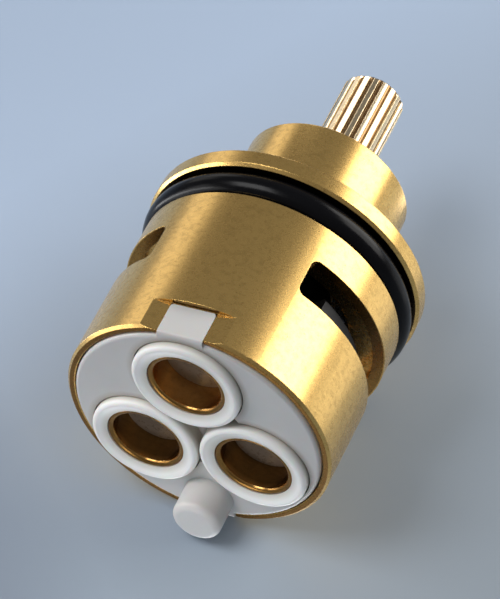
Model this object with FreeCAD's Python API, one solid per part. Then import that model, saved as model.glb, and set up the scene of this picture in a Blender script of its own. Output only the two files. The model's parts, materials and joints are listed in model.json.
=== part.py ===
"""Three-way diverter cartridge: a brass sleeve, a ceramic disc turned by a splined stem, and a white
base plate with three brass-lined ports.

Millimetres. The Z axis is the cartridge axis, with the stem up (+Z). Z = 0 is the base plate's outer
face, which meets the valve body. The anti-rotation tab over port 1 faces -Y, and the locating peg
stands under the +Y side. The valve is drawn shut: the ceramic disc's opening lies over the peg,
between ports 2 and 3.
"""
import FreeCAD, Part
import os
from math import cos, radians, sin, tau

# ---------------------------------------------------------------- driving dimensions
# The sleeve. RIM_Z is its bottom rim, which the base plate stands just proud of.
BODY_R, WALL = 16.5, 1.5
RIM_Z = 0.3
GROOVE_Z = 22.05
GROOVE_DEPTH = 2.8
FLANGE_R, FLANGE_Z, FLANGE_T = 17.5, 25.65, 2.4
COLLAR_R, COLLAR_TOP_Z = 10.5, 40.4

# The two inlet windows, one over each end of the X axis.
WINDOW_Z0, WINDOW_Z1 = 12.0, 17.3
WINDOW_HALF_ANGLE = 56.0
WINDOW_CORNER_R = 1.0

# The milled flats on the front and back, and the plate's tabs that stand in them.
FLAT_HALF_ANGLE, FLAT_TOP_Z = 18.0, 4.65
TAB_HALF_W, TAB_TOP_Z, TAB_PROUD = 2.8, 4.45, 0.12

# The base plate, its ports and its peg. The three port recesses run together over the middle.
PLATE_R, PLATE_T = 15.35, 3.0
PORT_PITCH_R, PORT_BORE_R = 7.92, 4.12
PORT_ANGLES = (-90.0, 30.0, 150.0)
BUSH_R, BUSH_MOUTH_Z = 4.85, -0.52
SEAL_R, SEAL_Z = 6.7, -1.0
RECESS_R, RECESS_FLOOR_Z = 6.84, 1.25
MIDDLE_RECESS_R = 6.3
PEG_R, PEG_PITCH_R, PEG_END_Z = 3.05, 12.4, -4.55

# The ceramic disc and the driver that turns it.
DISC_R, DISC_Z, DISC_T = 13.4, 3.21, 4.0
DISC_OPENING_R = (4.6, 11.6)
DISC_OPENING_HALF = 19.0
DRIVER_R, LOBE_IN_R, LOBE_TOP_Z = 13.9, 5.6, 16.05
LOBE_HALF_ANGLE = 39.0
HUB_R, HUB_Z0, HUB_TOP_Z = 6.9, 9.75, 24.05
LUG_HALF_W, LUG_DEPTH, LUG_REACH = 2.0, 1.5, 2.0

# The stem.
STEM_R, STEM_TOP_Z, TIP_CHAMFER = 4.0, 56.2, 0.7
SPLINE_TEETH, SPLINE_DEPTH, SPLINE_PHASE = 20, 0.4, -4.0
SHANK_R, SHANK_Z0, SHANK_Z1 = 6.0, 24.15, 38.4
STEM_SEAL_Z = (29.15, 33.95)
STEM_SEAL_CORD, STEM_GROOVE_DEPTH, STEM_GROOVE_HALF_W = 1.6, 1.6, 1.15
DRIVE_HALF, DRIVE_Z0 = 3.6, 14.55
SCREW_HOLE_R, SCREW_HOLE_DEPTH = 1.65, 10.0

# The stem turns this far each way from shut, against the stop ring's rib.
TURN_MIN, TURN_MAX = -60.0, 180.0
STOP_LUG_R, STOP_LUG_HALF = 10.4, 20.0
STOP_Z0, STOP_Z1 = 20.05, 23.85

# The click balls in the driver's lobes.
DETENT_STEP = 60.0
BALL_R, BALL_CENTRE_R, BALL_Z = 1.2, 14.1, 9.75
SPRING_SEAT_R = 9.4

BODY_CORD = 3.5              # the big O-ring's section
RUN_GAP = 0.05               # radial running clearance

# ---------------------------------------------------------------- worked-out sizes
FRONT, BACK = -90.0, 90.0
SIDES = (0.0, 180.0)
FLAT_Y = BODY_R * cos(radians(FLAT_HALF_ANGLE))
FLANGE_TOP_Z = FLANGE_Z + FLANGE_T
GROOVE_FLOOR_R = BODY_R - GROOVE_DEPTH
RIM_BORE_R = PLATE_R + 0.15
RIM_BORE_TOP_Z = 7.55
SNAP_Z = 5.95                # middle of the plate's snap bead
CHAMBER_R, CHAMBER_TOP_Z = BODY_R - WALL, 18.75
UPPER_CHAMBER_R, UPPER_CHAMBER_TOP_Z = 11.6, 25.05
SHANK_BORE_TOP_Z = COLLAR_TOP_Z - 1.45
NECK_BORE_R = STEM_R + 0.12
DISC_TOP_Z = DISC_Z + DISC_T
STOP_RIB_HALF = (360.0 - (TURN_MAX - TURN_MIN) - 2 * STOP_LUG_HALF) / 2 - 0.5
STOP_RIB_ANGLE = FRONT + (TURN_MAX + TURN_MIN) / 2 + 180.0
KEY_HALF_W, KEY_Y = 1.5, UPPER_CHAMBER_R + 0.9
BUSH_SHOULDER_R, BUSH_SHOULDER_Z0, BUSH_SHOULDER_Z1 = 5.5, 0.25, 0.75
Vector = FreeCAD.Vector
ORIGIN = Vector(0, 0, 0)
UP = Vector(0, 0, 1)


# ---------------------------------------------------------------- shape helpers
def cyl(r, z0, z1, x=0.0, y=0.0):
    """A cylinder along Z."""
    return Part.makeCylinder(r, z1 - z0, Vector(x, y, z0))


def tube(r_out, r_in, z0, z1):
    """A plain ring about the Z axis."""
    return cyl(r_out, z0, z1).cut(cyl(r_in, z0 - 1.0, z1 + 1.0))


def box(x0, x1, y0, y1, z0, z1):
    return Part.makeBox(x1 - x0, y1 - y0, z1 - z0, Vector(x0, y0, z0))


def turned(outline):
    """A solid turned about the Z axis from (r, z) corners."""
    corners = [Vector(r, 0, z) for r, z in outline]
    face = Part.Face(Part.makePolygon(corners + corners[:1]))
    return face.revolve(ORIGIN, UP, 360)


def polar(r, angle):
    return r * cos(radians(angle)), r * sin(radians(angle))


def sector(shape, mid, half):
    """What is left of a shape within half degrees of the angle mid."""
    bounds = shape.BoundBox
    reach = 2.0 * max(bounds.XMax, bounds.YMax)
    z0, z1 = bounds.ZMin - 1.0, bounds.ZMax + 1.0
    corners = [Vector(0, 0, z0)]
    corners += [Vector(*polar(reach, mid + half * k), z0) for k in (-1, -0.5, 0, 0.5, 1)]
    prism = Part.Face(Part.makePolygon(corners + corners[:1])).extrude(Vector(0, 0, z1 - z0))
    return shape.common(prism)


def spun(shape, angle):
    """A copy turned about the Z axis."""
    copy = shape.copy()
    copy.rotate(ORIGIN, UP, angle)
    return copy


def moved(shape, x, y):
    copy = shape.copy()
    copy.translate(Vector(x, y, 0))
    return copy


def quarter_round(r, z, size_r, size_z, steps=6):
    """Corners round a convex edge at (r, z): from the bore or rim wall to the end face."""
    turns = [tau / 4 * k / steps for k in range(steps + 1)]
    return [(r + size_r * (1 - cos(a)), z + size_z * (1 - sin(a))) for a in turns]


def straight_edges(shape, along):
    """The straight edges that run only along the directions named, such as "xy"."""
    chosen = []
    for edge in shape.Edges:
        size = {"x": edge.BoundBox.XLength, "y": edge.BoundBox.YLength, "z": edge.BoundBox.ZLength}
        if edge.Curve.TypeId == "Part::GeomLine" and all(size[a] < 0.01 for a in "xyz" if a not in along):
            chosen.append(edge)
    return chosen


# ---------------------------------------------------------------- the fixed parts
def window_cutter():
    """The inlet window over +X, with rounded corners."""
    slab = sector(tube(BODY_R + 1.0, CHAMBER_R - 0.6, WINDOW_Z0, WINDOW_Z1), 0.0, WINDOW_HALF_ANGLE)
    return slab.makeFillet(WINDOW_CORNER_R, straight_edges(slab, "xy"))


def sleeve_outside():
    """The bar-turned outside: rim, O-ring groove, flange and neck."""
    rim_chamfer, flange_chamfer, neck_chamfer, edge_break = 0.35, 0.35, 0.4, 0.15
    return turned([
        (0, RIM_Z), (BODY_R - rim_chamfer, RIM_Z), (BODY_R, RIM_Z + rim_chamfer),
        (BODY_R, GROOVE_Z - edge_break), (BODY_R - edge_break, GROOVE_Z),
        (GROOVE_FLOOR_R, GROOVE_Z), (GROOVE_FLOOR_R, FLANGE_Z),
        (FLANGE_R - flange_chamfer, FLANGE_Z), (FLANGE_R, FLANGE_Z + flange_chamfer),
        (FLANGE_R, FLANGE_TOP_Z - edge_break), (FLANGE_R - edge_break, FLANGE_TOP_Z),
        (COLLAR_R, FLANGE_TOP_Z), (COLLAR_R, COLLAR_TOP_Z - neck_chamfer),
        (COLLAR_R - neck_chamfer, COLLAR_TOP_Z), (0, COLLAR_TOP_Z)])


def sleeve_inside():
    """The stepped bore: plate seat, chamber with its ball track, stop chamber, shank and neck."""
    below, above = RIM_Z - 1.0, COLLAR_TOP_Z + 1.0
    snap_r, snap_half = RIM_BORE_R + 0.2, 0.6
    track_r, track_half = BALL_CENTRE_R + BALL_R + RUN_GAP, 0.9
    shank_bore_r = SHANK_R + RUN_GAP
    lead = 0.3
    return turned([
        (0, below), (RIM_BORE_R + lead / 2, below), (RIM_BORE_R + lead / 2, RIM_Z),
        (RIM_BORE_R, RIM_Z + lead / 2), (RIM_BORE_R, SNAP_Z - snap_half),
        (snap_r, SNAP_Z - snap_half + 0.2), (snap_r, SNAP_Z + snap_half - 0.2),
        (RIM_BORE_R, SNAP_Z + snap_half), (RIM_BORE_R, RIM_BORE_TOP_Z), (CHAMBER_R, RIM_BORE_TOP_Z),
        (CHAMBER_R, BALL_Z - track_half), (track_r, BALL_Z - track_half + lead),
        (track_r, BALL_Z + track_half - lead), (CHAMBER_R, BALL_Z + track_half),
        (CHAMBER_R, CHAMBER_TOP_Z), (UPPER_CHAMBER_R, CHAMBER_TOP_Z),
        (UPPER_CHAMBER_R, UPPER_CHAMBER_TOP_Z), (shank_bore_r, UPPER_CHAMBER_TOP_Z),
        (shank_bore_r, SHANK_BORE_TOP_Z), (NECK_BORE_R, SHANK_BORE_TOP_Z),
        (NECK_BORE_R, COLLAR_TOP_Z - lead), (NECK_BORE_R + lead, COLLAR_TOP_Z),
        (NECK_BORE_R + lead, above), (0, above)])


def body_sleeve():
    """The one-piece brass body."""
    window = window_cutter()
    cutters = [spun(window, side) for side in SIDES]
    far = BODY_R + 2.0
    notch_half_w = TAB_HALF_W + 0.06
    below = RIM_Z - 1.0
    flat = box(-far, far, FLAT_Y, far, below, FLAT_TOP_Z)
    notch = box(-notch_half_w, notch_half_w, CHAMBER_R - 1.0, far, below, FLAT_TOP_Z - 0.05)
    for turn in (0.0, 180.0):
        cutters += [spun(flat, turn), spun(notch, turn)]
    cutters.append(box(-KEY_HALF_W, KEY_HALF_W, UPPER_CHAMBER_R - 0.5, KEY_Y, CHAMBER_TOP_Z - 0.1,
                       UPPER_CHAMBER_TOP_Z))
    pocket = Part.makeSphere(BALL_R, Vector(BALL_CENTRE_R + 0.4, 0, BALL_Z))
    cutters += [spun(pocket, k * DETENT_STEP) for k in range(int(360 / DETENT_STEP))]
    sleeve = sleeve_outside().cut(sleeve_inside())
    for cutter in cutters:
        sleeve = sleeve.cut(cutter)
    return sleeve


def o_ring(inner_r, cord, z):
    return Part.makeTorus(inner_r + cord / 2, cord / 2, Vector(0, 0, z))


def base_plate():
    """The white plate: three recessed ports, a snap rim, two anti-rotation tabs and the peg."""
    rim_top_z, rim_inner_r = RIM_BORE_TOP_Z - 0.1, 14.3
    bead_r, bead_half = RIM_BORE_R + 0.12, 0.4
    edge_round, tab_round, peg_round = 0.5, 0.4, 0.9
    edge = quarter_round(PLATE_R, 0, -edge_round, edge_round)
    plate = turned([(0, 0)] + edge[::-1] + [
        (PLATE_R, SNAP_Z - bead_half),
        (bead_r, SNAP_Z - bead_half / 3), (bead_r, SNAP_Z + bead_half / 3),
        (PLATE_R, SNAP_Z + bead_half), (PLATE_R, rim_top_z), (rim_inner_r, rim_top_z),
        (rim_inner_r, PLATE_T), (0, PLATE_T)])
    tab = box(-TAB_HALF_W, TAB_HALF_W, PLATE_R - 1.0, FLAT_Y + TAB_PROUD, 0, TAB_TOP_Z)
    top_corners = [e for e in straight_edges(tab, "y") if e.BoundBox.ZMin > TAB_TOP_Z / 2]
    tab = tab.makeFillet(tab_round, top_corners)
    foot = [e for e in straight_edges(tab, "x") if e.BoundBox.ZMax < 0.01 and e.BoundBox.YMin > PLATE_R]
    tab = tab.makeFillet(edge_round, foot)
    plate = plate.fuse([tab, spun(tab, 180.0)]).removeSplitter()
    plate = plate.cut(cyl(MIDDLE_RECESS_R, -1.0, RECESS_FLOOR_Z))
    for angle in PORT_ANGLES:
        x, y = polar(PORT_PITCH_R, angle)
        plate = plate.cut(cyl(RECESS_R, -1.0, RECESS_FLOOR_Z, x, y))
        plate = plate.cut(cyl(BUSH_R + 0.1, 0, PLATE_T + 1.0, x, y))
    peg = cyl(PEG_R, PEG_END_Z, 1.0, 0, PEG_PITCH_R)
    peg_end = [e for e in peg.Edges if e.BoundBox.ZMax < PEG_END_Z + 0.01]
    return plate.fuse(peg.makeFillet(peg_round, peg_end)).removeSplitter()


def port_bush():
    """A brass liner with a rounded mouth and a shoulder that its seal grips."""
    lip, outer_chamfer = 0.5, 0.18
    return turned(quarter_round(PORT_BORE_R, BUSH_MOUTH_Z, lip, lip) + [
        (BUSH_R - outer_chamfer, BUSH_MOUTH_Z), (BUSH_R, BUSH_MOUTH_Z + outer_chamfer),
        (BUSH_R, BUSH_SHOULDER_Z0),
        (BUSH_SHOULDER_R, BUSH_SHOULDER_Z0), (BUSH_SHOULDER_R, BUSH_SHOULDER_Z1),
        (BUSH_R, BUSH_SHOULDER_Z1), (BUSH_R, DISC_Z), (PORT_BORE_R, DISC_Z)])


def port_seal():
    """The white ring round a bush: rounded outside, dished inside, and proud so that it is squeezed."""
    outer_round, slope_w, slope_h = 0.55, 1.25, 0.43
    outer = quarter_round(SEAL_R, SEAL_Z, -outer_round, outer_round)
    return turned([(BUSH_R, SEAL_Z + slope_h), (BUSH_R + slope_w, SEAL_Z)] + outer[::-1] + [
        (SEAL_R, RECESS_FLOOR_Z), (BUSH_R, RECESS_FLOOR_Z), (BUSH_R, BUSH_SHOULDER_Z1),
        (BUSH_SHOULDER_R, BUSH_SHOULDER_Z1), (BUSH_SHOULDER_R, BUSH_SHOULDER_Z0),
        (BUSH_R, BUSH_SHOULDER_Z0)])


def stop_ring():
    """The ring keyed into the sleeve whose rib limits the turn."""
    ring_in_r = STOP_LUG_R + 0.2
    ring = tube(UPPER_CHAMBER_R, ring_in_r, STOP_Z0, UPPER_CHAMBER_TOP_Z)
    rib = sector(tube(ring_in_r + 0.2, HUB_R + 0.4, STOP_Z0, STOP_Z1), STOP_RIB_ANGLE, STOP_RIB_HALF)
    key = box(-KEY_HALF_W, KEY_HALF_W, UPPER_CHAMBER_R - 0.4, KEY_Y, STOP_Z0, UPPER_CHAMBER_TOP_Z)
    return ring.fuse([rib, key]).removeSplitter()


# ---------------------------------------------------------------- the turning parts
def spline(z0, z1):
    """A toothed shaft along Z, with straight flanks between its crests and roots."""
    pitch = 360.0 / SPLINE_TEETH
    crest_half, root_half = pitch * 0.26, pitch * 0.12
    root_r = STEM_R - SPLINE_DEPTH
    edges = []
    corners = []
    for k in range(SPLINE_TEETH):
        mid = FRONT + SPLINE_PHASE + k * pitch
        for r, centre, half in ((STEM_R, mid, crest_half), (root_r, mid + pitch / 2, root_half)):
            arc = [Vector(*polar(r, centre + half * side), z0) for side in (-1, 0, 1)]
            edges.append(Part.Arc(*arc).toShape())
            corners.append((arc[0], arc[2]))
    for (_, end), (start, _) in zip(corners, corners[1:] + corners[:1]):
        edges.append(Part.makeLine(end, start))
    return Part.Face(Part.Wire(Part.__sortEdges__(edges))).extrude(Vector(0, 0, z1 - z0))


def stem():
    """The brass stem: splined top with a tapped hole, sealed shank and square drive end."""
    tip_straight_z = STEM_TOP_Z - TIP_CHAMFER
    teeth = spline(SHANK_Z1 - 0.5, STEM_TOP_Z).common(turned([
        (0, 0), (STEM_R, 0), (STEM_R, tip_straight_z), (STEM_R - TIP_CHAMFER, STEM_TOP_Z),
        (0, STEM_TOP_Z)]))
    outline = [(0, SHANK_Z0), (SHANK_R, SHANK_Z0)]
    floor_r = SHANK_R - STEM_GROOVE_DEPTH
    for z in STEM_SEAL_Z:
        low, high = z - STEM_GROOVE_HALF_W, z + STEM_GROOVE_HALF_W
        outline += [(SHANK_R, low), (floor_r, low), (floor_r, high), (SHANK_R, high)]
    shank = turned(outline + [(SHANK_R, SHANK_Z1), (0, SHANK_Z1)])
    drive = box(-DRIVE_HALF, DRIVE_HALF, -DRIVE_HALF, DRIVE_HALF, DRIVE_Z0, SHANK_Z0 + 0.5)
    whole = shank.fuse([teeth, drive]).removeSplitter()
    countersink = 0.5
    hole = cyl(SCREW_HOLE_R, STEM_TOP_Z - SCREW_HOLE_DEPTH, STEM_TOP_Z + 1.0)
    mouth = Part.makeCone(SCREW_HOLE_R, SCREW_HOLE_R + countersink, countersink,
                          Vector(0, 0, STEM_TOP_Z - countersink))
    return whole.cut(hole).cut(mouth)


def driver():
    """The black carrier that turns the disc: a hub on two lobes, open between them for the water."""
    bevel, bite = 0.5, 0.5
    drum = turned([(LOBE_IN_R, DISC_TOP_Z), (DRIVER_R, DISC_TOP_Z), (DRIVER_R, LOBE_TOP_Z - bevel),
                   (DRIVER_R - bevel, LOBE_TOP_Z), (LOBE_IN_R, LOBE_TOP_Z)])
    disc_lug = box(DISC_R - LUG_REACH, DISC_R, -LUG_HALF_W, LUG_HALF_W, DISC_TOP_Z - LUG_DEPTH,
                   DISC_TOP_Z + bite)
    stop_lug = tube(STOP_LUG_R, HUB_R - bite, STOP_Z0 + 0.1, STOP_Z1 - 0.1)
    pieces = [sector(stop_lug, FRONT, STOP_LUG_HALF)]
    for side in SIDES:
        pieces += [sector(drum, side, LOBE_HALF_ANGLE), spun(disc_lug, side)]
    whole = cyl(HUB_R, HUB_Z0, HUB_TOP_Z).fuse(pieces).removeSplitter()
    half = DRIVE_HALF + 0.02
    whole = whole.cut(box(-half, half, -half, half, DRIVE_Z0 - 0.1, HUB_TOP_Z + 1.0))
    pocket = Part.makeCylinder(BALL_R + RUN_GAP, DRIVER_R, Vector(SPRING_SEAT_R, 0, BALL_Z),
                               Vector(1, 0, 0))
    for side in SIDES:
        whole = whole.cut(spun(pocket, side))
    return whole


def ceramic_disc():
    """The lapped disc, with one opening between the lobes and a notch for each lug."""
    bevel, slack = 0.3, 0.05
    disc = turned([(0, DISC_Z), (DISC_R - bevel, DISC_Z), (DISC_R, DISC_Z + bevel),
                   (DISC_R, DISC_TOP_Z - bevel), (DISC_R - bevel, DISC_TOP_Z), (0, DISC_TOP_Z)])
    inner_r, outer_r = DISC_OPENING_R
    disc = disc.cut(sector(tube(outer_r, inner_r, DISC_Z - 1.0, DISC_TOP_Z + 1.0), BACK,
                           DISC_OPENING_HALF))
    notch = box(DISC_R - LUG_REACH - slack, DISC_R + 1.0, -LUG_HALF_W - slack, LUG_HALF_W + slack,
                DISC_TOP_Z - LUG_DEPTH - slack, DISC_TOP_Z + 1.0)
    for side in SIDES:
        disc = disc.cut(spun(notch, side))
    return disc


def detent_ball():
    """The +X click ball, level with the track so that it clears the sleeve between pockets."""
    return Part.makeSphere(BALL_R, Vector(BALL_CENTRE_R, 0, BALL_Z))


def detent_spring():
    """The coil of square wire behind the +X ball."""
    wire, coil_r, coils, gap = 0.3, 0.85, 5, 0.02
    start = SPRING_SEAT_R + wire / 2 + gap
    length = BALL_CENTRE_R - BALL_R - wire / 2 - gap - start
    helix = Part.Wire(Part.makeHelix(length / coils, length, coil_r))
    corners = [Vector(coil_r + i * wire / 2, 0, k * wire / 2) for i, k in ((-1, -1), (1, -1), (1, 1), (-1, 1))]
    section = Part.makePolygon(corners + corners[:1])
    coil = helix.makePipeShell([section], True, True)
    coil.rotate(ORIGIN, Vector(0, 1, 0), 90)
    coil.translate(Vector(start, 0, BALL_Z))
    return coil


def disc_spring():
    """The coned steel washer over the hub that holds the disc on its seats."""
    inner_r, outer_r, thick = 6.35, 9.9, 0.35
    low_z, high_z = HUB_TOP_Z + 0.03, UPPER_CHAMBER_TOP_Z - 0.02
    return turned([(inner_r, low_z), (outer_r, high_z - thick), (outer_r, high_z),
                   (inner_r, low_z + thick)])


def slip_washer():
    """The bearing washer between the shank's shoulder and the neck."""
    return tube(SHANK_R - 0.1, STEM_R + 0.15, SHANK_Z1 + 0.02, SHANK_BORE_TOP_Z - 0.03)


def build():
    """Every node, by name."""
    nodes = {
        "body_sleeve": body_sleeve(),
        "body_o_ring": o_ring(GROOVE_FLOOR_R + 0.02, BODY_CORD, GROOVE_Z + 0.03 + BODY_CORD / 2),
        "base_plate": base_plate(),
        "stop_ring": stop_ring(),
        "disc_spring": disc_spring(),
        "slip_washer": slip_washer(),
        "stem": stem(),
        "driver": driver(),
        "ceramic_disc": ceramic_disc(),
    }
    for number, z in enumerate(STEM_SEAL_Z, 1):
        nodes[f"stem_o_ring_{number}"] = o_ring(SHANK_R - STEM_GROOVE_DEPTH, STEM_SEAL_CORD, z)
    for number, side in enumerate(SIDES, 1):
        nodes[f"detent_ball_{number}"] = spun(detent_ball(), side)
        nodes[f"detent_spring_{number}"] = spun(detent_spring(), side)
    for number, angle in enumerate(PORT_ANGLES, 1):
        x, y = polar(PORT_PITCH_R, angle)
        nodes[f"port_bush_{number}"] = moved(port_bush(), x, y)
        nodes[f"port_seal_{number}"] = moved(port_seal(), x, y)
    return nodes


os.makedirs("parts", exist_ok=True)
for name, shape in build().items():
    solid = shape.Solids[0]
    print(f"{name:16s} solids {len(shape.Solids)} valid {solid.isValid()} volume {solid.Volume:9.2f}")
    solid.exportStep(f"parts/{name}.step")
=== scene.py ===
"""Looks, light and camera for the diverter cartridge."""
import json
from math import cos, pi, radians, sin

import bpy
from mathutils import Matrix, Vector

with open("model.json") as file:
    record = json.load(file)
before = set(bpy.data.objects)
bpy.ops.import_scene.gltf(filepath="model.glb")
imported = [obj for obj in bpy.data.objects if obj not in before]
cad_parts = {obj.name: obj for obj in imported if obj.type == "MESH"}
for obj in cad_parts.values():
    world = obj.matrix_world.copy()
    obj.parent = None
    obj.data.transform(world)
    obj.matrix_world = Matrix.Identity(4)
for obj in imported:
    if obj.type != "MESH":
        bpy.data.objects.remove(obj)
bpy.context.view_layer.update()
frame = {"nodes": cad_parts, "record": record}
MM = 0.001                                   # a millimetre in scene units
scene = bpy.context.scene

# ---------------------------------------------------------------- camera
# It looks up at the base plate from below and is rolled, so the part leans to the right.
VIEW_AZIMUTH, VIEW_ELEVATION, VIEW_ROLL = 24.75, -35.78, -28.41
VIEW_DISTANCE = 418.3 * MM
AIM = Vector((-2.61, 1.87, 21.62)) * MM
LENS = 210.7
CLIP_NEAR, CLIP_FAR = 0.01, 20.0

azimuth, elevation = radians(VIEW_AZIMUTH), radians(VIEW_ELEVATION)
back = Vector((sin(azimuth) * cos(elevation), -cos(azimuth) * cos(elevation), sin(elevation)))
camera = bpy.data.objects.new("camera", bpy.data.cameras.new("camera"))
scene.collection.objects.link(camera)
camera.data.lens = LENS
camera.data.clip_start, camera.data.clip_end = CLIP_NEAR, CLIP_FAR
turn = back.to_track_quat("Z", "Y").to_matrix() @ Matrix.Rotation(radians(-VIEW_ROLL), 3, "Z")
camera.matrix_world = Matrix.Translation(AIM + back * VIEW_DISTANCE) @ turn.to_4x4()
scene.camera = camera
right, up = turn.col[0].copy(), turn.col[1].copy()


# ---------------------------------------------------------------- node helpers
def new_material(name):
    mat = bpy.data.materials.new(name)
    mat.use_nodes = True
    tree = mat.node_tree
    shader = tree.nodes["Principled BSDF"]
    return mat, tree, shader


def node(tree, kind, **values):
    made = tree.nodes.new(kind)
    for key, value in values.items():
        setattr(made, key, value)
    return made


def coords(tree, stretch=(1, 1, 1)):
    """Object coordinates in millimetres, stretched along each axis."""
    where = node(tree, "ShaderNodeTexCoord")
    scale = node(tree, "ShaderNodeVectorMath", operation="MULTIPLY")
    scale.inputs[1].default_value = [s / MM for s in stretch]
    tree.links.new(where.outputs["Object"], scale.inputs[0])
    return scale.outputs[0]


def noise(tree, vector, scale, detail=3.0, rough=0.55):
    made = node(tree, "ShaderNodeTexNoise")
    made.inputs["Scale"].default_value = scale
    made.inputs["Detail"].default_value = detail
    made.inputs["Roughness"].default_value = rough
    tree.links.new(vector, made.inputs["Vector"])
    return made.outputs["Fac"]


def remap(tree, value, low, high, start=0.3, end=0.7):
    """Low at the start of the value's range and high at its end, held beyond both."""
    made = node(tree, "ShaderNodeMapRange")
    made.inputs["From Min"].default_value = start
    made.inputs["From Max"].default_value = end
    made.inputs["To Min"].default_value = low
    made.inputs["To Max"].default_value = high
    tree.links.new(value, made.inputs["Value"])
    return made.outputs["Result"]


def ramp(tree, value, stops):
    """Colours along a value. Each stop is a place from 0 to 1 and the colour there."""
    made = node(tree, "ShaderNodeValToRGB")
    bar = made.color_ramp
    while len(bar.elements) < len(stops):
        bar.elements.new(0.5)
    for element, (at, colour) in zip(bar.elements, stops):
        element.position = at
        element.color = (*colour, 1.0)
    tree.links.new(value, made.inputs["Fac"])
    return made.outputs["Color"]


def bumped(tree, height, depth_mm, normal=None):
    made = node(tree, "ShaderNodeBump")
    made.inputs["Strength"].default_value = 1.0
    made.inputs["Distance"].default_value = depth_mm * MM
    tree.links.new(height, made.inputs["Height"])
    if normal is not None:
        tree.links.new(normal, made.inputs["Normal"])
    return made.outputs["Normal"]


def shade(base, k):
    return tuple(min(1.0, c * k) for c in base)


def maths(tree, operation, *values):
    """A maths node. A value is a number or another node's output."""
    made = node(tree, "ShaderNodeMath", operation=operation)
    for socket, value in zip(made.inputs, values):
        if isinstance(value, (int, float)):
            socket.default_value = value
        else:
            tree.links.new(value, socket)
    return made.outputs[0]


def mixed(tree, factor, first, tint):
    """A colour, multiplied by a plain tint where the factor is 1."""
    made = node(tree, "ShaderNodeMix", data_type="RGBA", blend_type="MULTIPLY")
    factor_in, first_in, tint_in = (made.inputs[k] for k in (0, 6, 7))
    tint_in.default_value = (*tint, 1.0)
    tree.links.new(factor, factor_in)
    tree.links.new(first, first_in)
    return made.outputs[2]


def along_axis(tree, vector, direction):
    """How far a vector reaches along a direction."""
    made = node(tree, "ShaderNodeVectorMath", operation="DOT_PRODUCT")
    made.inputs[1].default_value = direction
    tree.links.new(vector, made.inputs[0])
    return made.outputs["Value"]


# ---------------------------------------------------------------- masks
# Places on the part, in millimetres. A span is its middle and its half height, and a fade is where a mask
# starts and ends.
GROOVE_SPAN, GROOVE_EDGE_R = (23.85, 1.86), 17.1
SLOT_SPAN, SLOT_EDGE_R = (14.65, 2.75), 16.35
LEDGE_SPAN, LEDGE_EDGE_R = (4.625, 0.05), 16.45
RIM_LEVEL = 0.33
TOOTH_FADE_R, TOOTH_Z = (3.68, 3.8), 40.3
MOUTH_FADE_Z, BORE_FADE_Z = (-0.35, 0.0), (-0.2, 0.6)
PORT_PITCH_R, PORT_ANGLES = 7.92, (-90.0, 30.0, 150.0)
DISH_FADE_R, HALO_FADE_R = (4.9, 5.7), (6.9, 7.7)
WALL_R, WALL_FADE_Z = 6.2, (-0.75, 0.1)


def place(tree):
    """The X, Y and Z of a point on the part, in millimetres."""
    split = node(tree, "ShaderNodeSeparateXYZ")
    tree.links.new(coords(tree), split.inputs[0])
    return split.outputs


def radius_and_height(tree):
    """Distance from the cartridge axis and height along it, in millimetres."""
    x, y, z = place(tree)
    squares = maths(tree, "ADD", maths(tree, "MULTIPLY", x, x), maths(tree, "MULTIPLY", y, y))
    return maths(tree, "SQRT", squares), z


def port_radius(tree):
    """Distance from the nearest port's axis, in millimetres."""
    flat = coords(tree, (1, 1, 0))
    nearest = None
    for angle in map(radians, PORT_ANGLES):
        gap = node(tree, "ShaderNodeVectorMath", operation="DISTANCE")
        gap.inputs[1].default_value = (PORT_PITCH_R * cos(angle), PORT_PITCH_R * sin(angle), 0)
        tree.links.new(flat, gap.inputs[0])
        away = gap.outputs["Value"]
        nearest = away if nearest is None else maths(tree, "MINIMUM", nearest, away)
    return nearest


def band_mask(span, edge_r):
    """A mask for what lies in a span of height and inside a radius."""
    def mask(tree):
        radius, z = radius_and_height(tree)
        level = maths(tree, "COMPARE", z, *span)
        return maths(tree, "MULTIPLY", level, maths(tree, "LESS_THAN", radius, edge_r))
    return mask


def port_mask(fade):
    """A mask for what lies close to a port's axis."""
    def mask(tree):
        return remap(tree, port_radius(tree), 1.0, 0.0, *fade)
    return mask


groove_shade_mask = band_mask(GROOVE_SPAN, GROOVE_EDGE_R)    # painted shade and a painted dark reflection of the O-ring where the sleeve's brass faces the big O-ring
slot_shade_mask = band_mask(SLOT_SPAN, SLOT_EDGE_R)          # painted shade on the two windows' walls, and the chamber behind them
ledge_shade_mask = band_mask(LEDGE_SPAN, LEDGE_EDGE_R)       # painted shade on the ledge over each of the plate's tabs
dish_shade_mask = port_mask(DISH_FADE_R)                     # painted shade in a seal's dished inside, darker towards the bore
halo_shade_mask = port_mask(HALO_FADE_R)                     # painted shade on the plate's face close round a seal


def rim_mask(tree):
    """Where the sleeve's brass is its bottom end face."""
    return maths(tree, "LESS_THAN", radius_and_height(tree)[1], RIM_LEVEL)


def tooth_floor_shade_mask(tree):
    """Painted shade on the floors between the stem's teeth."""
    radius, z = radius_and_height(tree)
    floor = remap(tree, radius, 1.0, 0.0, *TOOTH_FADE_R)
    return maths(tree, "MULTIPLY", floor, maths(tree, "GREATER_THAN", z, TOOTH_Z))


def mouth_shade_mask(tree):
    """Painted shade on the rounded mouth of a port's liner."""
    return remap(tree, place(tree)["Z"], 1.0, 0.0, *MOUTH_FADE_Z)


def bore_shade_mask(tree):
    """Painted shade deep in the bores of the two ports on the peg's side."""
    where = place(tree)
    deep = remap(tree, where["Z"], 0.0, 1.0, *BORE_FADE_Z)
    return maths(tree, "MULTIPLY", deep, maths(tree, "GREATER_THAN", where["Y"], 0.0))


def wall_foot_shade_mask(tree):
    """Painted shade at the foot of a seal's outside wall."""
    foot = remap(tree, place(tree)["Z"], 0.0, 1.0, *WALL_FADE_Z)
    return maths(tree, "MULTIPLY", foot, maths(tree, "GREATER_THAN", port_radius(tree), WALL_R))


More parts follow.
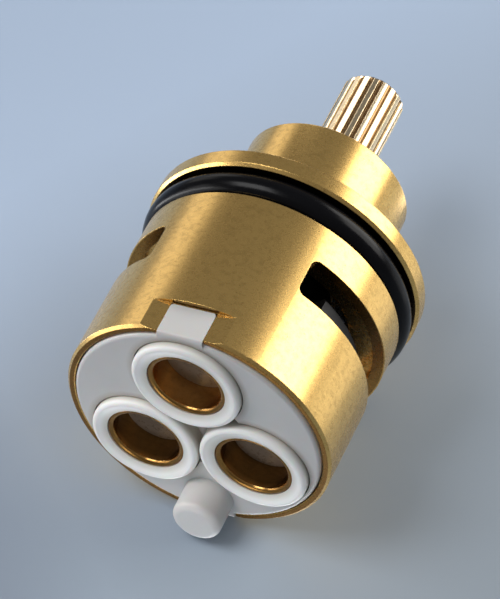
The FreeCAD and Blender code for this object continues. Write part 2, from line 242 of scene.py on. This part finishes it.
# ---------------------------------------------------------------- materials
# Each noise is its scale, its detail and its roughness.
PATCH_NOISE, PATCH_STRETCH = (1.4, 5.0, 0.72), (0.8, 0.8, 1.0)
PATCH_STOPS = ((0.34, 0.80), (0.5, 1.0), (0.66, 1.08))   # places in the noise, and the metal's brightness
BRASS_GRAIN_NOISE = (4.0, 4.0, 0.65)
SPECK_NOISE, SPECK_FADE, SPECK_TINT = (3.4, 2.0, 0.6), (0.28, 0.35), (0.40, 0.30, 0.20)
FRECKLE_NOISE, FRECKLE_FADE, FRECKLE_TINT = (6.5, 2.0, 0.5), (0.38, 0.5), (0.66, 0.56, 0.44)
FRECKLE_SHARE = 0.26                                     # how strong a freckle is beside a speck
RING_NOISE, RING_STRETCH = (9.0, 2.0), (0.05, 0.05, 1.0)
BEVEL_SAMPLES = 4
CLOUD_NOISE, CLOUD_STOPS = (0.25, 3.0), (0.3, 0.7)
GRAIN_DETAIL = (4.0, 0.6)


def tinted(tree, colour, dark):
    """A colour with each dark place, a mask and the tint it takes, multiplied in."""
    for mask, tint in dark:
        colour = mixed(tree, mask(tree), colour, tint)
    return colour


def brass(name, base, rough, spread, line_depth, grain_depth, pits=0.5, edge=0.12, dark=()):
    """Turned brass: rings left by the tool, a fine grain, dark pits, and clouds of duller metal.
    Depths and the edges' rounding are in millimetres."""
    mat, tree, shader = new_material(name)
    patches = noise(tree, coords(tree, PATCH_STRETCH), *PATCH_NOISE)
    grain = noise(tree, coords(tree), *BRASS_GRAIN_NOISE)
    specks = noise(tree, coords(tree), *SPECK_NOISE)
    freckles = noise(tree, coords(tree), *FRECKLE_NOISE)
    rings = noise(tree, coords(tree, RING_STRETCH), *RING_NOISE)
    colour = ramp(tree, patches, [(at, shade(base, k)) for at, k in PATCH_STOPS])
    freckled = remap(tree, freckles, pits * FRECKLE_SHARE, 0.0, *FRECKLE_FADE)
    colour = mixed(tree, freckled, colour, FRECKLE_TINT)
    colour = mixed(tree, remap(tree, specks, pits, 0.0, *SPECK_FADE), colour, SPECK_TINT)
    tree.links.new(tinted(tree, colour, dark), shader.inputs["Base Color"])
    tree.links.new(remap(tree, patches, rough + spread, rough - spread), shader.inputs["Roughness"])
    bevel = node(tree, "ShaderNodeBevel", samples=BEVEL_SAMPLES)
    bevel.inputs["Radius"].default_value = edge * MM
    ringed = bumped(tree, rings, line_depth, bevel.outputs[0])
    tree.links.new(bumped(tree, grain, grain_depth, ringed), shader.inputs["Normal"])
    shader.inputs["Metallic"].default_value = 1.0
    return mat


def plain(name, base, rough, spread, grain_scale, grain_depth, vary, dark=(), **sockets):
    """Moulded or lapped material with a faint cloud of tone and a fine surface grain.
    The grain's depth is in millimetres. The sockets are the shader's own, with _ for a space."""
    mat, tree, shader = new_material(name)
    cloud = noise(tree, coords(tree), *CLOUD_NOISE)
    grain = noise(tree, coords(tree), grain_scale, *GRAIN_DETAIL)
    colour = ramp(tree, cloud, list(zip(CLOUD_STOPS, (shade(base, 1 - vary), shade(base, 1 + vary)))))
    tree.links.new(tinted(tree, colour, dark), shader.inputs["Base Color"])
    tree.links.new(remap(tree, grain, rough - spread, rough + spread), shader.inputs["Roughness"])
    tree.links.new(bumped(tree, grain, grain_depth), shader.inputs["Normal"])
    for key, value in sockets.items():
        shader.inputs[key.replace("_", " ")].default_value = value
    return mat


looks = {
    # The sleeve's dark tints on its groove, its windows and its ledges are painted shade.
    "sleeve_brass": brass("sleeve_brass", (0.80, 0.515, 0.172), 0.27, 0.025, 0.001, 0.0012,
                          dark=((rim_mask, (0.42, 0.31, 0.20)), (groove_shade_mask, (0.10, 0.10, 0.10)),
                                (slot_shade_mask, (0.45, 0.38, 0.26)), (ledge_shade_mask, (0.40, 0.38, 0.36)))),
    # The stem's tint between its teeth is painted shade.
    "stem_brass": brass("stem_brass", (0.82, 0.66, 0.44), 0.16, 0.03, 0.0008, 0.0008, 0.15, edge=0.16,
                        dark=((tooth_floor_shade_mask, (0.34, 0.26, 0.18)),)),
    # The liner's tints at its mouth and deep in the peg-side bores are painted shade.
    "bush_brass": brass("bush_brass", (0.84, 0.49, 0.17), 0.2, 0.04, 0.001, 0.001, edge=0.22,
                        dark=((mouth_shade_mask, (0.38, 0.33, 0.25)), (bore_shade_mask, (0.42, 0.42, 0.42)))),
    "black_rubber": plain("black_rubber", (0.003, 0.003, 0.004), 0.22, 0.03, 2.5, 0.001, 0.2,
                          Specular_IOR_Level=0.13),
    # The plate's tint round each seal is painted shade.
    "white_acetal": plain("white_acetal", (0.62, 0.61, 0.60), 0.40, 0.05, 1.6, 0.002, 0.015,
                          dark=((halo_shade_mask, (0.70, 0.66, 0.61)),),
                          Subsurface_Weight=0.25, Subsurface_Scale=0.0006),
    # The seal's tints in its dish and at the foot of its outside wall are painted shade.
    "white_seal": plain("white_seal", (0.93, 0.925, 0.90), 0.42, 0.05, 1.6, 0.002, 0.015,
                        dark=((dish_shade_mask, (0.74, 0.71, 0.66)), (wall_foot_shade_mask, (0.60, 0.56, 0.50))),
                        Subsurface_Weight=0.25, Subsurface_Scale=0.0005),
    "black_acetal": plain("black_acetal", (0.010, 0.010, 0.012), 0.46, 0.06, 1.8, 0.003, 0.2,
                          Specular_IOR_Level=0.3),
    "disc_ceramic": plain("disc_ceramic", (0.20, 0.155, 0.12), 0.3, 0.06, 2.0, 0.001, 0.08),
    "spring_steel": plain("spring_steel", (0.56, 0.57, 0.60), 0.25, 0.06, 3.0, 0.002, 0.05, Metallic=1.0),
    "ball_steel": plain("ball_steel", (0.72, 0.73, 0.76), 0.1, 0.03, 3.0, 0.001, 0.03, Metallic=1.0),
    "white_ptfe": plain("white_ptfe", (0.86, 0.86, 0.84), 0.5, 0.05, 1.6, 0.003, 0.02),
}
slot_of = {part["node"]: part["material_slot"] for part in frame["record"]["subparts"]}
for name, obj in frame["nodes"].items():
    for slot in obj.material_slots:
        slot.material = looks[slot_of[name]]

# ---------------------------------------------------------------- the sheet it lies on
SHEET_AZIMUTH, SHEET_LEAN = -82.8, 2.95      # the way it faces, and how far the flange props the part up
SHEET_HALF, SHEET_GAP = 1.2, 0.1 * MM
TOUCH_R, TOUCH_Z = 17.5 * MM, 25.65 * MM     # where the flange rests on it
# The sheet's colour holds painted light: it darkens across the sheet as light falls off, and painted shade
# darkens one corner.
PAINTED_FALLOFF_TOWARD, PAINTED_FALLOFF_SPAN = right * 0.5 - up * 0.85, (-0.037, 0.040)
PAINTED_FALLOFF_TONES = [(0.0, (0.41, 0.51, 0.67)), (0.35, (0.33, 0.40, 0.505)), (0.65, (0.31, 0.37, 0.445)),
         (0.78, (0.285, 0.337, 0.40)), (1.0, (0.255, 0.30, 0.35))]
CORNER_SHADE_TOWARD, CORNER_SHADE_SPAN, CORNER_SHADE_TINT = right * -0.85 - up * 0.5, (0.018, 0.034), (0.68, 0.68, 0.70)
SHEET_ROUGHNESS = 0.55

facing, lean = radians(SHEET_AZIMUTH), radians(SHEET_LEAN)
outward = Vector((cos(facing), sin(facing), 0))
sheet_normal = Vector((cos(facing) * cos(lean), sin(facing) * cos(lean), sin(lean)))
touch = -outward * TOUCH_R + Vector((0, 0, TOUCH_Z)) - sheet_normal * SHEET_GAP
across = sheet_normal.cross(up).normalized()
along = sheet_normal.cross(across)
corners = [touch + (across * i + along * j) * SHEET_HALF for i, j in ((-1, -1), (1, -1), (1, 1), (-1, 1))]
mesh = bpy.data.meshes.new("sheet")
mesh.from_pydata([tuple(c) for c in corners], [], [(0, 1, 2, 3)])
mesh.update()
if mesh.polygons[0].normal.dot(sheet_normal) < 0:
    mesh.flip_normals()
sheet = bpy.data.objects.new("sheet", mesh)
scene.collection.objects.link(sheet)
sheet.visible_shadow = False


def sheet_material():
    """Pale blue-grey, darkened towards one side by painted light falloff and at one corner by painted
    shade, and clear when seen from behind.
    """
    mat, tree, shader = new_material("sheet")
    where = node(tree, "ShaderNodeTexCoord").outputs["Object"]
    painted_falloff = remap(tree, along_axis(tree, where, PAINTED_FALLOFF_TOWARD), 0.0, 1.0, *PAINTED_FALLOFF_SPAN)
    shaded = remap(tree, along_axis(tree, where, CORNER_SHADE_TOWARD), 0.0, 1.0, *CORNER_SHADE_SPAN)
    tree.links.new(mixed(tree, shaded, ramp(tree, painted_falloff, PAINTED_FALLOFF_TONES), CORNER_SHADE_TINT), shader.inputs["Base Color"])
    shader.inputs["Roughness"].default_value = SHEET_ROUGHNESS
    clear = node(tree, "ShaderNodeBsdfTransparent")
    side = node(tree, "ShaderNodeNewGeometry")
    either = node(tree, "ShaderNodeMixShader")
    tree.links.new(side.outputs["Backfacing"], either.inputs[0])
    tree.links.new(shader.outputs[0], either.inputs[1])
    tree.links.new(clear.outputs[0], either.inputs[2])
    tree.links.new(either.outputs[0], tree.nodes["Material Output"].inputs["Surface"])
    return mat


mesh.materials.append(sheet_material())

# ---------------------------------------------------------------- light
SLEEVE_R = 16.5
MIDDLE = Vector((0, 0, 25)) * MM
BASE_CENTRE = Vector((0, 0, 0))
PEG_END = Vector((0, 12.4, -4.5)) * MM
STEM_END = Vector((0, 0, 50)) * MM
CARTRIDGE_AXIS = Vector((0, 0, 1))


def on_sleeve(degrees, z):
    """A point on the sleeve's outside, by its azimuth from the tab and its height in millimetres."""
    angle = radians(degrees)
    return Vector((SLEEVE_R * sin(angle), -SLEEVE_R * cos(angle), z)) * MM


def softbox(name, toward, distance, size, glow, colour=(1, 1, 1), about=MIDDLE, upright=CARTRIDGE_AXIS,
            mirrored_only=False):
    """An area light, seen from a point in the direction given as (right, up, towards the camera).
    Its size is its width and its height, which runs along the upright. The glow is its radiance.
    One that is mirrored only shows in shiny surfaces and doesn't light the matt ones."""
    direction = (right * toward[0] + up * toward[1] + back * toward[2]).normalized()
    wide, high = size
    data = bpy.data.lights.new(name, "AREA")
    data.shape = "RECTANGLE"
    data.size, data.size_y = wide, high
    data.energy = glow * pi * wide * high
    data.color = colour
    lamp = bpy.data.objects.new(name, data)
    scene.collection.objects.link(lamp)
    x_axis = upright.cross(direction).normalized()
    axes = Matrix((x_axis, direction.cross(x_axis), direction)).transposed()
    lamp.matrix_world = Matrix.Translation(about + direction * distance) @ axes.to_4x4()
    lamp.visible_camera = False
    lamp.visible_diffuse = not mirrored_only


# Distances and sizes are in metres.
softbox("window", (0.86, 0.48, 0.14), 0.35, (0.24, 0.36), 4.4, (1.0, 0.98, 0.94))
softbox("back card", (-0.49, 0.785, -0.37), 0.6, (0.22, 0.4), 0.95, (1.0, 0.97, 0.92))
softbox("edge card", (0.937, 0.028, -0.348), 0.05, (0.03, 0.03), 0.55, (1.0, 0.97, 0.92),
        about=on_sleeve(70, 11), mirrored_only=True)
softbox("above camera", (-0.55, 0.5, 0.67), 1.0, (0.5, 0.5), 6.5)
softbox("left card", (-0.96, 0.25, 0.05), 0.07, (0.05, 0.05), 1.9, (1.0, 0.99, 0.98), about=BASE_CENTRE)
softbox("left strip", (-0.994, 0.09, -0.08), 0.068, (0.008, 0.08), 8.0, upright=back, mirrored_only=True)
softbox("peg card", (-0.4, -0.7, 0.6), 0.03, (0.015, 0.015), 4.0, (0.96, 0.98, 1.0), about=PEG_END)
softbox("stem card", (-0.22, 0.972, 0.05), 0.03, (0.008, 0.014), 3.5, about=STEM_END, mirrored_only=True)
softbox("stem side card", (0.86, -0.06, -0.5), 0.03, (0.01, 0.022), 3.0, about=STEM_END, mirrored_only=True)
softbox("behind", (-0.02, -0.67, -0.74), 1.0, (0.5, 0.5), 7.0, (0.98, 0.99, 1.0), mirrored_only=True)

# The room's light, from under the sheet to straight over it, and the plain colour the camera sees past it.
ROOM_STOPS = [(0.0, (0.12, 0.13, 0.14)), (0.48, (0.12, 0.13, 0.14)), (0.53, (0.19, 0.19, 0.19)),
              (0.8, (0.20, 0.20, 0.20)), (1.0, (0.25, 0.26, 0.27))]
ROOM_SEEN = (0.36, 0.43, 0.52, 1.0)


def room_world():
    world = bpy.data.worlds.new("room")
    world.use_nodes = True
    tree = world.node_tree
    tree.nodes.clear()
    where = node(tree, "ShaderNodeTexCoord").outputs["Generated"]
    height = remap(tree, along_axis(tree, where, sheet_normal), 0.0, 1.0, -1.0, 1.0)
    lit = node(tree, "ShaderNodeBackground")
    seen = node(tree, "ShaderNodeBackground")
    seen.inputs["Color"].default_value = ROOM_SEEN
    path = node(tree, "ShaderNodeLightPath")
    either = node(tree, "ShaderNodeMixShader")
    out = node(tree, "ShaderNodeOutputWorld")
    tree.links.new(ramp(tree, height, ROOM_STOPS), lit.inputs["Color"])
    tree.links.new(path.outputs["Is Camera Ray"], either.inputs[0])
    tree.links.new(lit.outputs[0], either.inputs[1])
    tree.links.new(seen.outputs[0], either.inputs[2])
    tree.links.new(either.outputs[0], out.inputs["Surface"])
    return world


scene.world = room_world()
scene.view_settings.view_transform = "Standard"
scene.view_settings.look = "None"
